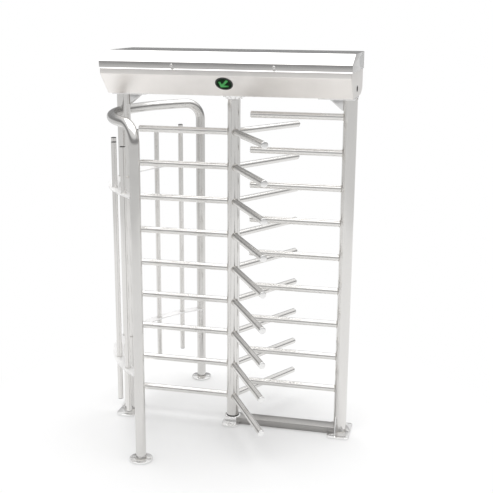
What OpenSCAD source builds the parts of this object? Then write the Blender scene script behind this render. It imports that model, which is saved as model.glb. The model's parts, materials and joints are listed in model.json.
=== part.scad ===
// Full-height visitor counter turnstile: three-wing rotor, fixed comb, curved cage and
// an overhead canopy that holds the lock, damper and counting mechanism.
// Millimetres. Origin on the floor under the rotor axis, X along the canopy, +Z up.

/* [Rotor] */
// Height between one arm and the next, shared by the rotor and the comb
arm_pitch = 200; // [180:1:200]
// Height of the lowest rotor arm above the floor
low_arm_z = 171; // [165:1:175]
// Distance from the rotor axis to the tip of an arm
arm_reach = 565; // [480:5:575]
// Outside diameter of the rotor arms and the comb bars
arm_d = 38; // [30:1:42]
// Outside diameter of the rotor column
column_d = 73; // [70:1:76]

/* [Comb] */
// Height of the lowest comb bar above the floor
low_comb_z = 273; // [268:1:278]
// Distance from the rotor axis to the free end of a comb bar
comb_free_x = 97; // [90:1:140]

/* [Posts] */
// Distance from the rotor axis to each canopy post
post_x = 657; // [650:1:660]
// Outside diameter of the canopy posts
post_d = 76; // [70:1:80]

/* [Cage] */
// X of the centre that the hoop, the bands and the rods are bent about
cage_x = 100; // [90:1:105]
// Radius of the hoop, the bands and the ring of rods
cage_r = 775; // [770:1:785]
// Outside diameter of the hoop tube
hoop_d = 57; // [48:1:60]
// Height of the horizontal stretch of the hoop
hoop_z = 1868; // [1850:1:1880]
// Centreline radius of the two bends into the hoop legs
hoop_bend_r = 105; // [90:1:115]
// Outside diameter of the cage rods
rod_d = 30; // [24:1:34]
// Angle between neighbouring cage rods, seen from the centre of the cage
rod_step = 14; // [13:0.5:14.5]
// Height of the lower end of the cage rods
rod_low_z = 240; // [200:5:300]
// Height of the upper end of the cage rods
rod_high_z = 1740; // [1700:5:1760]
// Height of the top face of the lower band
band_low_z = 500; // [400:5:600]
// Height of the top face of the upper band
band_high_z = 1490; // [1400:5:1600]

/* [Canopy] */
// Height of the canopy's underside
canopy_z = 1984; // [1984:1:1990]
// Overall length of the lid
lid_l = 1384; // [1384:1:1400]
// Overall width of the lid
lid_w = 550; // [540:1:560]
// Height of the canopy from its underside to the top of the lid
canopy_h = 236; // [230:1:250]
// Diameter of the round direction indicator
indicator_d = 98; // [80:1:104]

/* [Base] */
// Thickness of the floor plates and flanges
plate_t = 12; // [8:1:14]
// Diameter of the round flanges under the hoop legs
flange_d = 130; // [125:1:150]
// Diameter of the floor anchor holes
anchor_d = 13; // [10:1:14]

/* [Mechanism] */
// Teeth on the drive gear
gear_teeth = 48; // [48]
// Teeth on the damper pinion
pinion_teeth = 16; // [16]
// Notches around the lock wheel
notches = 12; // [12]

/* [Hidden] */
$fn = 64;
levels = 9;
fit = 0.05;

// tube walls
arm_wall = 2;
post_wall = 3;
hoop_wall = 3;
rod_wall = 2;
cap_t = 4;

arm_r = arm_d / 2;
column_r = column_d / 2;
post_r = post_d / 2;
hoop_r = hoop_d / 2;
rod_r = rod_d / 2;

// rotor heights
pivot_r = 12.5;
shaft_r = 15;
foot_top = 42;
column_low = 48;
seal_h = column_low - foot_top - 0.4;
column_high = canopy_z - 31;
plug_h = 40;
pivot_top = column_low + plug_h - 6;

// cage
hoop_sweep = 45;
leg_x = cage_x - cage_r * cos(hoop_sweep) + hoop_bend_r * sin(hoop_sweep);
leg_y = cage_r * sin(hoop_sweep) + hoop_bend_r * cos(hoop_sweep);
leg_high = hoop_z - hoop_bend_r;
weld_gap = 0.01;
band_w = 60;
band_t = 6;
band_sweep = atan2(leg_y, cage_x - leg_x);
rod_angles = [for (side = [-1, 1]) for (i = [1:3]) 180 + side * i * rod_step];
rod_cap_t = 3;

// canopy section, half widths and heights
sheet = 2;
lid_gap = 1.3;
trough_half_w = lid_w / 2 - sheet - lid_gap;
trough_half_bottom = 155;
slope_low_z = canopy_z;
slope_high_z = canopy_z + 114;
trough_top = canopy_z + 161;
rear_low_z = canopy_z + 28;
rear_foot = 190;
lid_low = canopy_z + 142;
lid_shoulder = canopy_z + 184;
lid_top = canopy_z + canopy_h;
lid_half_top = 145;
bend_r = 5;
lid_end_gap = 2;
end_t = 3;
end_out = lid_l / 2 - sheet - lid_end_gap;
end_in = end_out - end_t;
rim = 16;
slope_angle = atan2(slope_high_z - slope_low_z, trough_half_w - trough_half_bottom);
rear_angle = atan2(rear_low_z - slope_low_z, trough_half_w - rear_foot);

// lid hinge at the rear
hinge_y = lid_w / 2 + 7.5;
hinge_z = lid_low;
knuckle_r = 6;
hinge_pin_r = 3;
hinge_x = 400;
knuckle_l = 20;
knuckle_gap = 0.5;
leaf_t = 2.5;
leaf_h = 30;

// head plates and chassis
head_t = 10;
head_l = 200;
head_w = 200;
head_x = end_out - head_l / 2 + 2;
head_bolt = 75;
bolt_r = 6;
bolt_hole_r = 6.3;
chassis_t = 6;
chassis_w = 280;
chassis_wall = 4;
chassis_wall_h = 40;
chassis_low = canopy_z + sheet;
chassis_top = chassis_low + chassis_t;
chassis_end = end_in - 5;

// bearings
head_bearing_r = 62;
head_bearing_h = 28;
foot_bearing_r = 50;

// base
post_plate_w = 130;
post_plate_l = 220;
foot_plate_w = 105;
foot_plate_l = 210;
anchor_y = 85;
anchor_x = 35;
foot_anchor_y = 70;
flange_pcd = 96;
beam_w = 80;
beam_h = 40;
beam_wall = 3;
gusset_t = 8;
gusset_x = 20;

// mechanism
gear_module = 2.5;
gear_low = canopy_z + 56;
gear_t = 12;
gear_pitch_r = gear_module * gear_teeth / 2;
pinion_pitch_r = gear_module * pinion_teeth / 2;
damper_x = gear_pitch_r + pinion_pitch_r;
damper_r = 30;
damper_top = gear_low - 4;
damper_shaft_r = 5;
wheel_low = canopy_z + 78;
wheel_t = 12;
wheel_r = 70;
notch_w = 16;
notch_depth = 12;
pawl_x = 90;
pawl_y = 70;
pawl_w = 12;
pawl_tip = wheel_r + 3;
pawl_tooth_w = 8;
pawl_t = 8;
pawl_low = wheel_low + 2;
pawl_pin_r = 6;
pawl_angle = 30;
plunger_y = 35;
plunger_r = 4;
plunger_gap = 1.5;
plunger_x = pawl_x + pawl_w / 2 + plunger_gap;
plunger_l = 48;
coil_x = plunger_x + 16;
coil_l = 56;
coil_w = 36;
coil_hole_r = plunger_r + fit;
shaft_top = wheel_low + wheel_t + 14;

// ---------- outlines ----------

// points of one rounded corner at p, between its neighbours a and b
function unit(v) = v / norm(v);
function corner(a, p, b, r, n = 4) =
    let (u = unit(a - p), v = unit(b - p),
         half = acos(u * v) / 2,
         run = r / tan(half),
         c = p + unit(u + v) * r / sin(half),
         s = p + u * run - c,
         turn = (180 - 2 * half) * sign(u[1] * v[0] - u[0] * v[1]))
    [for (i = [0:n])
        let (t = turn * i / n)
        c + [s[0] * cos(t) - s[1] * sin(t), s[0] * sin(t) + s[1] * cos(t)]];

// a closed outline with every corner of radius radii[i]; radius 0 stays sharp
function rounded(pts, radii) =
    let (n = len(pts))
    [for (i = [0:n - 1])
        let (a = pts[(i + n - 1) % n], b = pts[(i + 1) % n])
        for (q = radii[i] > 0 ? corner(a, pts[i], b, radii[i]) : [pts[i]]) q];

// a sheet of metal folded along a line of points, given its outer and inner outlines
module folded(outer, inner, radius) {
    n = len(outer);
    outer_r = [for (i = [0:n - 1]) i == 0 || i == n - 1 ? 0 : radius];
    inner_r = [for (i = [0:n - 1]) i == 0 || i == n - 1 ? 0 : radius - sheet];
    back = [for (i = [n - 1:-1:0]) inner[i]];
    polygon(rounded(concat(outer, back), concat(outer_r, inner_r)));
}

// extrudes a section drawn in Y and Z along X, centred on the origin
module along_x(length) {
    rotate([90, 0, 90]) translate([0, 0, -length / 2]) linear_extrude(length) children();
}

module tube(r, wall, h) {
    difference() {
        cylinder(r = r, h = h);
        translate([0, 0, -1]) cylinder(r = r - wall, h = h + 2);
    }
}

// a rectangle plate with rounded corners, centred
module plate(w, l, t, r) {
    linear_extrude(t) {
        square([w - 2 * r, l], center = true);
        square([w, l - 2 * r], center = true);
        for (x = [-1, 1], y = [-1, 1])
            translate([x * (w / 2 - r), y * (l / 2 - r)]) circle(r = r);
    }
}

module ring_hole(r, t) {
    translate([0, 0, -1]) cylinder(r = r, h = t + 2);
}

// ---------- canopy ----------

trough_outer = [[trough_half_w - rim, trough_top], [trough_half_w, trough_top],
                [trough_half_w, rear_low_z], [rear_foot, slope_low_z],
                [-trough_half_bottom, slope_low_z], [-trough_half_w, slope_high_z],
                [-trough_half_w, trough_top], [rim - trough_half_w, trough_top]];
trough_inner = [[trough_half_w - rim, trough_top - sheet],
                [trough_half_w - sheet, trough_top - sheet],
                [trough_half_w - sheet, rear_low_z + sheet * tan(45 - rear_angle / 2)],
                [rear_foot - sheet * tan(rear_angle / 2), slope_low_z + sheet],
                [sheet * tan(slope_angle / 2) - trough_half_bottom, slope_low_z + sheet],
                [sheet - trough_half_w, slope_high_z + sheet * tan(45 - slope_angle / 2)],
                [sheet - trough_half_w, trough_top - sheet],
                [rim - trough_half_w, trough_top - sheet]];

lid_half_w = lid_w / 2;
lid_drop = lid_top - lid_shoulder;
lid_slope = atan2(lid_drop, lid_half_w - lid_half_top);
lid_outer = [[lid_half_w, lid_low], [lid_half_w, lid_top], [-lid_half_top, lid_top],
             [-lid_half_w, lid_shoulder], [-lid_half_w, lid_low]];
lid_inner = [[lid_half_w - sheet, lid_low],
             [lid_half_w - sheet, lid_top - sheet],
             [sheet * tan(lid_slope / 2) - lid_half_top, lid_top - sheet],
             [sheet - lid_half_w, lid_shoulder - sheet * tan(45 - lid_slope / 2)],
             [sheet - lid_half_w, lid_low]];

// centre of the indicator, on the front slope
indicator_t = 0.37;
indicator_y = -trough_half_w + indicator_t * (trough_half_w - trough_half_bottom);
indicator_z = slope_high_z - indicator_t * (slope_high_z - slope_low_z);

module at_indicator() {
    translate([0, indicator_y, indicator_z]) rotate([180 - slope_angle, 0, 0]) children();
}

// the four bolts of each head plate
module at_head_bolts() {
    for (s = [-1, 1], x = [-1, 1], y = [-1, 1])
        translate([s * head_x + x * head_bolt, y * head_bolt, 0]) children();
}

module canopy_trough() {
    color("gainsboro") difference() {
        along_x(2 * end_in) folded(trough_outer, trough_inner, bend_r);
        translate([0, 0, canopy_z]) ring_hole(shaft_r + 6, sheet);
        translate([0, 0, canopy_z]) at_head_bolts() ring_hole(bolt_hole_r, sheet);
        at_indicator() translate([0, 0, -5]) cylinder(r = indicator_d / 2 - 5, h = 10);
    }
}

module trough_outline() {
    n = len(trough_outer) - 2;
    polygon(rounded([for (i = [1:n]) trough_outer[i]], [for (i = [1:n]) bend_r]));
}

grommet_z = canopy_z + 46;
grommet_r = 13;

module canopy_ends() {
    color("silver") for (s = [-1, 1]) difference() {
        translate([s * (end_in + end_t / 2), 0, 0]) along_x(end_t) trough_outline();
        if (s > 0)
            translate([end_in - 1, 0, grommet_z]) rotate([0, 90, 0])
                cylinder(r = grommet_r, h = end_t + 2);
    }
}

// a sealed rubber blank in the cable entry, with a dished middle
module cable_grommet() {
    color("black") translate([end_in, 0, grommet_z]) rotate([0, 90, 0])
        rotate_extrude() polygon([[0, 0], [grommet_r, 0], [grommet_r, end_t],
                                  [grommet_r + 3, end_t], [grommet_r + 2, end_t + 3],
                                  [grommet_r - 3, end_t + 3], [grommet_r - 5, end_t - 1],
                                  [0, end_t - 1]]);
}

module lid() {
    color("whitesmoke") {
        difference() {
            union() {
                along_x(lid_l) folded(lid_outer, lid_inner, bend_r);
                for (s = [-1, 1])
                    translate([s * (lid_l - sheet) / 2, 0, 0]) along_x(sheet)
                        polygon(rounded(lid_outer, [0, bend_r, bend_r, bend_r, 0]));
            }
            at_lid_screws() translate([0, 0, -1]) cylinder(r = 3, h = sheet + 2, $fn = 32);
        }
        for (s = [-1, 1], k = [-1, 1])
            translate([s * hinge_x + k * (knuckle_l + knuckle_gap), 0, 0]) lid_knuckle();
    }
}

module lid_knuckle() {
    difference() {
        union() {
            translate([-knuckle_l / 2, hinge_y, hinge_z]) rotate([0, 90, 0])
                cylinder(r = knuckle_r, h = knuckle_l);
            translate([-knuckle_l / 2, lid_half_w, hinge_z])
                cube([knuckle_l, leaf_t, leaf_h]);
        }
        translate([-knuckle_l / 2 - 1, hinge_y, hinge_z]) rotate([0, 90, 0])
            cylinder(r = hinge_pin_r + fit, h = knuckle_l + 2);
    }
}

// a fixed leaf, its knuckle and the pin that the lid's knuckles turn on
module lid_hinges() {
    pin_l = 3 * knuckle_l + 2 * knuckle_gap + 8;
    shelf_top = hinge_z - 5;
    color("darkgray") for (s = [-1, 1]) translate([s * hinge_x, 0, 0]) {
        translate([-knuckle_l / 2, hinge_y, hinge_z]) rotate([0, 90, 0])
            cylinder(r = knuckle_r, h = knuckle_l);
        translate([-pin_l / 2, hinge_y, hinge_z]) rotate([0, 90, 0])
            cylinder(r = hinge_pin_r, h = pin_l);
        translate([-knuckle_l / 2, trough_half_w, shelf_top - 4])
            cube([knuckle_l, hinge_y - trough_half_w, 4]);
        translate([-knuckle_l * 1.5, trough_half_w, shelf_top - 18])
            cube([knuckle_l * 3, leaf_t, 18]);
    }
}

lid_screw_x = 280;
lid_screw_z = lid_low + 24;

module at_lid_screws() {
    for (s = [-1, 1])
        translate([s * lid_screw_x, sheet - lid_half_w, lid_screw_z])
            rotate([90, 0, 0]) children();
}

// captive lid screws with slotted round heads
module lid_screws() {
    color("silver") at_lid_screws() difference() {
        union() {
            cylinder(r = 3, h = sheet, $fn = 32);
            translate([0, 0, sheet]) cylinder(r = 8, h = 3);
            translate([0, 0, sheet + 3]) cylinder(r1 = 8, r2 = 6.5, h = 1.5);
        }
        translate([-10, -0.8, sheet + 3]) cube([20, 1.6, 3]);
    }
}

module indicator_bezel() {
    r = indicator_d / 2;
    color("dimgray") at_indicator() rotate_extrude()
        polygon([[r - 7, -4], [r - 5, -4], [r - 5, 0], [r, 0], [r, 2],
                 [r - 1.5, 3.5], [r - 4, 3.5], [r - 5, 2.5], [r - 7, 2.5]]);
}

module indicator_lens() {
    color("darkgreen") at_indicator() translate([0, 0, -2])
        cylinder(r = indicator_d / 2 - 7, h = 3.5);
}

// ---------- chassis and posts ----------

module chassis_beam() {
    w = chassis_w / 2;
    color("slategray") {
        difference() {
            union() {
                translate([-chassis_end, -w, chassis_low])
                    cube([2 * chassis_end, 2 * w, chassis_t]);
                for (s = [-1, 1])
                    translate([-chassis_end, s * (w - chassis_wall / 2) - chassis_wall / 2,
                               chassis_low])
                        cube([2 * chassis_end, chassis_wall, chassis_wall_h]);
            }
            translate([0, 0, chassis_low]) ring_hole(shaft_r + 6, chassis_t);
            translate([0, 0, chassis_low]) at_head_bolts() ring_hole(bolt_hole_r, chassis_t);
        }
        for (s = [-1, 1])
            rotate(180 - s * pawl_angle) translate([pawl_x, -s * pawl_y, chassis_top]) {
                cylinder(r = pawl_pin_r + 4, h = pawl_low - chassis_top - 0.5);
                cylinder(r = pawl_pin_r, h = pawl_low + pawl_t + 2 - chassis_top);
            }
    }
}

module chassis_bolts() {
    color("silver") at_head_bolts() {
        translate([0, 0, canopy_z - head_t])
            cylinder(r = bolt_r, h = chassis_top - canopy_z + head_t);
        translate([0, 0, chassis_top]) cylinder(r = 11, h = 8, $fn = 6);
    }
}

// plate welded on a post's top, with the gusset that runs down the post's inner side
module head_plate(side) {
    gusset_w = 78;
    gusset_h = 66;
    color("gainsboro") {
        difference() {
            translate([side * head_x, 0, canopy_z - head_t])
                plate(head_l, head_w, head_t, 8);
            translate([0, 0, canopy_z - head_t]) at_head_bolts()
                ring_hole(bolt_hole_r, head_t);
        }
        difference() {
            translate([side * (post_x - post_r + 5), gusset_t / 2, canopy_z - head_t])
                rotate([90, 0, 0]) linear_extrude(gusset_t)
                    polygon([[0, 0], [-side * (gusset_w + 5), 0],
                             [-side * (gusset_w + 5), -8], [-side * 13, -gusset_h],
                             [0, -gusset_h]]);
            translate([side * post_x, 0, canopy_z - 200]) cylinder(r = post_r, h = 200);
        }
    }
}

module head_plate_left() { head_plate(-1); }
module head_plate_right() { head_plate(1); }

module post(side) {
    color("lightgray") translate([side * post_x, 0, plate_t])
        tube(post_r, post_wall, canopy_z - head_t - plate_t);
}

module post_left() { post(-1); }
module post_right() { post(1); }

// ---------- base ----------

module base_plate_left() {
    color("whitesmoke") translate([-post_x, 0, 0]) difference() {
        plate(post_plate_w, post_plate_l, plate_t, 40);
        for (y = [-1, 1]) translate([0, y * anchor_y, 0]) ring_hole(anchor_d / 2, plate_t);
    }
}

module base_plate_right() {
    color("whitesmoke") translate([post_x, 0, 0]) difference() {
        plate(post_plate_w, post_plate_l, plate_t, 16);
        for (x = [-1, 1], y = [-1, 1])
            translate([x * anchor_x, y * anchor_y, 0]) ring_hole(anchor_d / 2, plate_t);
    }
}

// an upright rib with a sloping edge, standing out along +X from a post's surface
module rib(reach, height, offset) {
    difference() {
        translate([0, offset + gusset_t / 2, plate_t]) rotate([90, 0, 0])
            linear_extrude(gusset_t)
                polygon([[0, 0], [post_r + reach, 0], [post_r + reach, 8],
                         [post_r + 4, height], [0, height]]);
        translate([0, 0, plate_t - 1]) cylinder(r = post_r, h = height + 2);
    }
}

// a low rib on the outer side of each post, and two tall ones on the beam's post
module post_gussets() {
    low = [25, 50];
    tall = [42, 95];
    color("gainsboro") {
        for (side = [-1, 1])
            translate([side * post_x, 0, 0]) rotate(side > 0 ? 0 : 180)
                rib(low[0], low[1], 0);
        for (side = [-1, 1])
            translate([post_x, 0, 0]) rotate(side * 90)
                rib(tall[0], tall[1], side * gusset_x);
    }
}

module base_beam() {
    plate_edge = post_x - post_plate_w / 2;
    color("lightgray") difference() {
        union() {
            translate([foot_plate_w / 2, -beam_w / 2, 0])
                cube([plate_edge - foot_plate_w / 2, beam_w, plate_t]);
            translate([0, -beam_w / 2, plate_t])
                cube([post_x - gusset_x - gusset_t / 2, beam_w, beam_h - plate_t]);
        }
        translate([foot_plate_w / 2 + 20, beam_wall - beam_w / 2, beam_wall])
            cube([plate_edge - foot_plate_w / 2 - 40, beam_w - 2 * beam_wall,
                  beam_h - 2 * beam_wall]);
        translate([0, 0, -1]) cylinder(r = foot_bearing_r, h = beam_h + 2);
        translate([post_x, 0, plate_t - 1]) cylinder(r = post_r, h = beam_h);
    }
}

module foot_plate() {
    color("whitesmoke") difference() {
        plate(foot_plate_w, foot_plate_l, plate_t, 36);
        for (y = [-1, 1])
            translate([0, y * foot_anchor_y, 0]) ring_hole(anchor_d / 2, plate_t);
    }
}

// pedestal with the pivot pin that the column's lower plug turns on
module foot_bearing() {
    color("gainsboro") {
        translate([0, 0, plate_t]) rotate_extrude()
            polygon([[0, 0], [foot_bearing_r, 0], [foot_bearing_r, foot_top - plate_t - 3],
                     [foot_bearing_r - 3, foot_top - plate_t], [0, foot_top - plate_t]]);
        translate([0, 0, foot_top - 1]) cylinder(r = pivot_r, h = pivot_top - foot_top + 1);
    }
}

// rubber ring that closes the gap between the pedestal and the turning column
module column_seal() {
    color("black") translate([0, 0, foot_top]) rotate_extrude()
        polygon([[pivot_r + 4, 0], [column_r + 2, 0], [column_r - 1.5, seal_h - 1.5],
                 [column_r - 3, seal_h], [pivot_r + 4, seal_h]]);
}

module head_bearing() {
    color("silver") translate([0, 0, canopy_z - head_bearing_h]) rotate_extrude()
        polygon([[shaft_r + fit, 0], [head_bearing_r - 16, 0], [head_bearing_r - 14, 8],
                 [head_bearing_r - 2, 10], [head_bearing_r, 12],
                 [head_bearing_r, head_bearing_h], [shaft_r + fit, head_bearing_h]]);
}

// ---------- cage ----------

// placed at the end of the arc on one side, with +Y running on along the arc's tangent
module at_hoop_end(side) {
    translate([cage_x, 0, hoop_z]) rotate(180 + side * hoop_sweep)
        translate([cage_r, 0, 0]) mirror([0, side > 0 ? 0 : 1, 0]) children();
}

// the tube's section, a ring
module hoop_ring() {
    difference() {
        circle(r = hoop_r);
        circle(r = hoop_r - hoop_wall);
    }
}

// the arch is one bent tube, notched where it is welded round the post, and each leg
// is butt welded under one of its bends
module hoop_tube() {
    color("lightgray") {
        difference() {
            translate([cage_x, 0, hoop_z]) rotate(180 - hoop_sweep)
                rotate_extrude(angle = 2 * hoop_sweep, $fn = 200)
                    translate([cage_r, 0]) hoop_ring($fn = 32);
            translate([-post_x, 0, hoop_z - 100]) cylinder(r = post_r, h = 200);
        }
        for (side = [-1, 1]) {
            at_hoop_end(side) translate([0, 0, -hoop_bend_r]) rotate([90, 0, 90])
                rotate_extrude(angle = 90)
                    translate([hoop_bend_r, 0]) hoop_ring($fn = 32);
            translate([leg_x, side * leg_y, plate_t])
                tube(hoop_r, hoop_wall, leg_high - plate_t - weld_gap, $fn = 32);
        }
    }
}

module hoop_flanges() {
    color("whitesmoke") for (side = [-1, 1])
        translate([leg_x, side * leg_y, 0]) difference() {
            rotate_extrude() polygon([[0, 0], [flange_d / 2, 0], [flange_d / 2, plate_t - 3],
                                      [flange_d / 2 - 3, plate_t], [0, plate_t]]);
            for (a = [0:90:270])
                rotate(a) translate([flange_pcd / 2, 0, 0]) ring_hole(anchor_d / 2, plate_t);
        }
}

module at_rod(i) {
    translate([cage_x, 0, 0]) rotate(rod_angles[i]) translate([cage_r, 0, 0]) children();
}

module band(top_z) {
    color("white") difference() {
        translate([cage_x, 0, top_z - band_t]) rotate(180 - band_sweep)
            rotate_extrude(angle = 2 * band_sweep, $fn = 360)
                translate([cage_r - band_w / 2, 0]) square([band_w, band_t]);
        for (i = [0:5]) at_rod(i) translate([0, 0, top_z - band_t]) ring_hole(rod_r, band_t);
        for (side = [-1, 1]) translate([leg_x, side * leg_y, top_z - band_t])
            ring_hole(hoop_r, band_t);
        translate([-post_x, 0, top_z - band_t]) ring_hole(post_r, band_t);
    }
}

module band_lower() { band(band_low_z); }
module band_upper() { band(band_high_z); }

module cage_rod(i) {
    color("lightgray") at_rod(i) translate([0, 0, rod_low_z + rod_cap_t])
        tube(rod_r, rod_wall, rod_high_z - rod_low_z - 2 * rod_cap_t);
}

module cage_rod_1() { cage_rod(0); }
module cage_rod_2() { cage_rod(1); }
module cage_rod_3() { cage_rod(2); }
module cage_rod_4() { cage_rod(3); }
module cage_rod_5() { cage_rod(4); }
module cage_rod_6() { cage_rod(5); }

// a push-in plug with a chamfered head, head up
module rod_cap() {
    rotate_extrude() polygon([[0, -18], [rod_r - rod_wall, -18], [rod_r - rod_wall, 0],
                              [rod_r, 0], [rod_r, rod_cap_t - 1], [rod_r - 1, rod_cap_t],
                              [0, rod_cap_t]]);
}

module rod_caps() {
    color("black") for (i = [0:5]) at_rod(i) {
        translate([0, 0, rod_high_z - rod_cap_t]) rod_cap();
        translate([0, 0, rod_low_z + rod_cap_t]) mirror([0, 0, 1]) rod_cap();
    }
}

// ---------- comb and rotor ----------

// a shallow domed disc that closes a bar's end, outward along +X
module bar_cap() {
    rotate([0, 90, 0]) rotate_extrude()
        polygon([[0, 0], [arm_r, 0], [arm_r, cap_t - 2.5], [arm_r - 1.2, cap_t - 0.8],
                 [arm_r - 4, cap_t], [0, cap_t]]);
}

module comb_bar(i) {
    color("lightgray") difference() {
        translate([comb_free_x + cap_t, 0, low_comb_z + (i - 1) * arm_pitch])
            rotate([0, 90, 0]) tube(arm_r, arm_wall, post_x - comb_free_x - cap_t);
        translate([post_x, 0, low_comb_z + (i - 1) * arm_pitch - 50])
            cylinder(r = post_r, h = 100);
    }
}

module comb_bar_1() { comb_bar(1); }
module comb_bar_2() { comb_bar(2); }
module comb_bar_3() { comb_bar(3); }
module comb_bar_4() { comb_bar(4); }
module comb_bar_5() { comb_bar(5); }
module comb_bar_6() { comb_bar(6); }
module comb_bar_7() { comb_bar(7); }
module comb_bar_8() { comb_bar(8); }
module comb_bar_9() { comb_bar(9); }

module comb_caps() {
    color("gainsboro") for (i = [0:levels - 1])
        translate([comb_free_x + cap_t, 0, low_comb_z + i * arm_pitch])
            mirror([1, 0, 0]) bar_cap();
}

// nine arms in one vertical plane, standing out from the column at an angle
module wing(angle) {
    color("lightgray") rotate(angle) for (i = [0:levels - 1])
        translate([0, 0, low_arm_z + i * arm_pitch]) difference() {
            rotate([0, 90, 0]) tube(arm_r, arm_wall, arm_reach - cap_t);
            translate([0, 0, -50]) cylinder(r = column_r, h = 100);
        }
}

module wing_left() { wing(180); }
module wing_front() { wing(-60); }
module wing_rear() { wing(60); }

module arm_caps() {
    color("gainsboro") for (angle = [-60, 60, 180], i = [0:levels - 1])
        rotate(angle) translate([arm_reach - cap_t, 0, low_arm_z + i * arm_pitch]) bar_cap();
}

// the column tube with the bored plug that turns on the pivot pin
module rotor_column() {
    color("lightgray") translate([0, 0, column_low]) {
        tube(column_r, post_wall, column_high - column_low);
        tube(column_r - post_wall, column_r - post_wall - pivot_r - fit, plug_h);
    }
}

module rotor_shaft() {
    color("darkgray") {
        translate([0, 0, column_high - plug_h]) cylinder(r = column_r - post_wall, h = plug_h);
        translate([0, 0, column_high - 1]) cylinder(r = shaft_r, h = shaft_top - column_high);
        translate([0, 0, shaft_top - 1]) cylinder(r1 = shaft_r, r2 = shaft_r - 2, h = 2);
    }
}

// ---------- mechanism ----------

// one straight-flanked gear with a bore and a hub
module gear(teeth, bore_r, t) {
    pitch_r = gear_module * teeth / 2;
    root_r = pitch_r - 1.25 * gear_module;
    tip_r = pitch_r + 0.9 * gear_module;
    root_w = 1.0 * gear_module;
    tip_w = 0.4 * gear_module;
    difference() {
        union() {
            cylinder(r = root_r, h = t);
            for (i = [0:teeth - 1]) rotate(i * 360 / teeth) linear_extrude(t)
                polygon([[root_r - 1, -root_w], [tip_r, -tip_w], [tip_r, tip_w],
                         [root_r - 1, root_w]]);
        }
        ring_hole(bore_r, t);
    }
}

module drive_gear() {
    color("goldenrod") translate([0, 0, gear_low]) {
        difference() {
            gear(gear_teeth, shaft_r, gear_t);
            for (a = [30:60:330]) rotate(a) translate([38, 0, 0]) ring_hole(9, gear_t);
        }
    }
}

// the pinion is turned half a tooth so that it meshes with the drive gear at rest
module damper_pinion() {
    color("silver") translate([damper_x, 0, 0]) {
        translate([0, 0, gear_low]) rotate(180 + 180 / pinion_teeth)
            gear(pinion_teeth, damper_shaft_r, gear_t);
        translate([0, 0, damper_top - 24])
            cylinder(r = damper_shaft_r, h = gear_low + gear_t - damper_top + 28);
    }
}

module damper_body() {
    color("dimgray") translate([damper_x, 0, 0]) difference() {
        union() {
            translate([0, 0, chassis_top]) cylinder(r = damper_r, h = damper_top - chassis_top);
            translate([-30, -40, chassis_top]) cube([70, 80, 6]);
        }
        translate([0, 0, damper_top - 25]) cylinder(r = damper_shaft_r + fit, h = 26);
    }
}

module lock_wheel() {
    color("slategray") translate([0, 0, wheel_low]) difference() {
        cylinder(r = wheel_r, h = wheel_t);
        ring_hole(shaft_r, wheel_t);
        for (i = [0:notches - 1]) rotate(i * 360 / notches)
            translate([wheel_r - notch_depth, -notch_w / 2, -1])
                cube([notch_depth + 5, notch_w, wheel_t + 2]);
    }
}

// a lever with one tooth that swings into the lock wheel
module pawl(side) {
    rotate(180 - side * pawl_angle) mirror([0, side > 0 ? 0 : 1, 0]) difference() {
        union() {
            translate([pawl_x, -pawl_y, pawl_low]) cylinder(r = pawl_w, h = pawl_t);
            translate([pawl_x - pawl_w / 2, -pawl_y, pawl_low])
                cube([pawl_w, pawl_y + pawl_tooth_w / 2, pawl_t]);
            translate([pawl_tip, -pawl_tooth_w / 2, pawl_low])
                cube([pawl_x - pawl_tip, pawl_tooth_w, pawl_t]);
        }
        translate([pawl_x, -pawl_y, pawl_low]) ring_hole(pawl_pin_r + fit, pawl_t);
    }
}

module pawl_entry() { color("orange") pawl(1); }
module pawl_exit() { color("orange") pawl(-1); }

module plunger(side) {
    color("silver") rotate(180 - side * pawl_angle) mirror([0, side > 0 ? 0 : 1, 0])
        translate([plunger_x, -plunger_y, pawl_low + pawl_t / 2]) rotate([0, 90, 0])
            cylinder(r = plunger_r, h = plunger_l);
}

module plunger_entry() { plunger(1); }
module plunger_exit() { plunger(-1); }

module lock_solenoids() {
    mid = pawl_low + pawl_t / 2;
    color("darkslategray") for (side = [-1, 1])
        rotate(180 - side * pawl_angle) mirror([0, side > 0 ? 0 : 1, 0]) difference() {
            union() {
                translate([coil_x, -plunger_y - coil_w / 2, mid - coil_w / 2])
                    cube([coil_l, coil_w, coil_w]);
                translate([coil_x + 6, -plunger_y - 12, chassis_top])
                    cube([coil_l - 12, 24, mid - coil_w / 2 - chassis_top]);
            }
            translate([coil_x - 1, -plunger_y, mid]) rotate([0, 90, 0])
                cylinder(r = coil_hole_r, h = plunger_l);
        }
}

// proximity sensor that counts the drive gear's teeth, on an angle bracket
module count_sensor() {
    reach = gear_pitch_r + gear_module + 1.5;
    mid = gear_low + gear_t / 2;
    color("royalblue") {
        translate([0, -reach, mid]) rotate([90, 0, 0]) cylinder(r = 6, h = 42);
        difference() {
            translate([-14, -reach - 28, chassis_top]) cube([28, 6, mid + 12 - chassis_top]);
            translate([0, -reach - 20, mid]) rotate([90, 0, 0]) cylinder(r = 6, h = 20);
        }
    }
}

module control_box() {
    color("lightsteelblue") translate([300, 0, chassis_top]) {
        translate([-90, -70, 0]) cube([180, 140, 48]);
        translate([-93, -73, 48]) cube([186, 146, 8]);
    }
}

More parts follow.
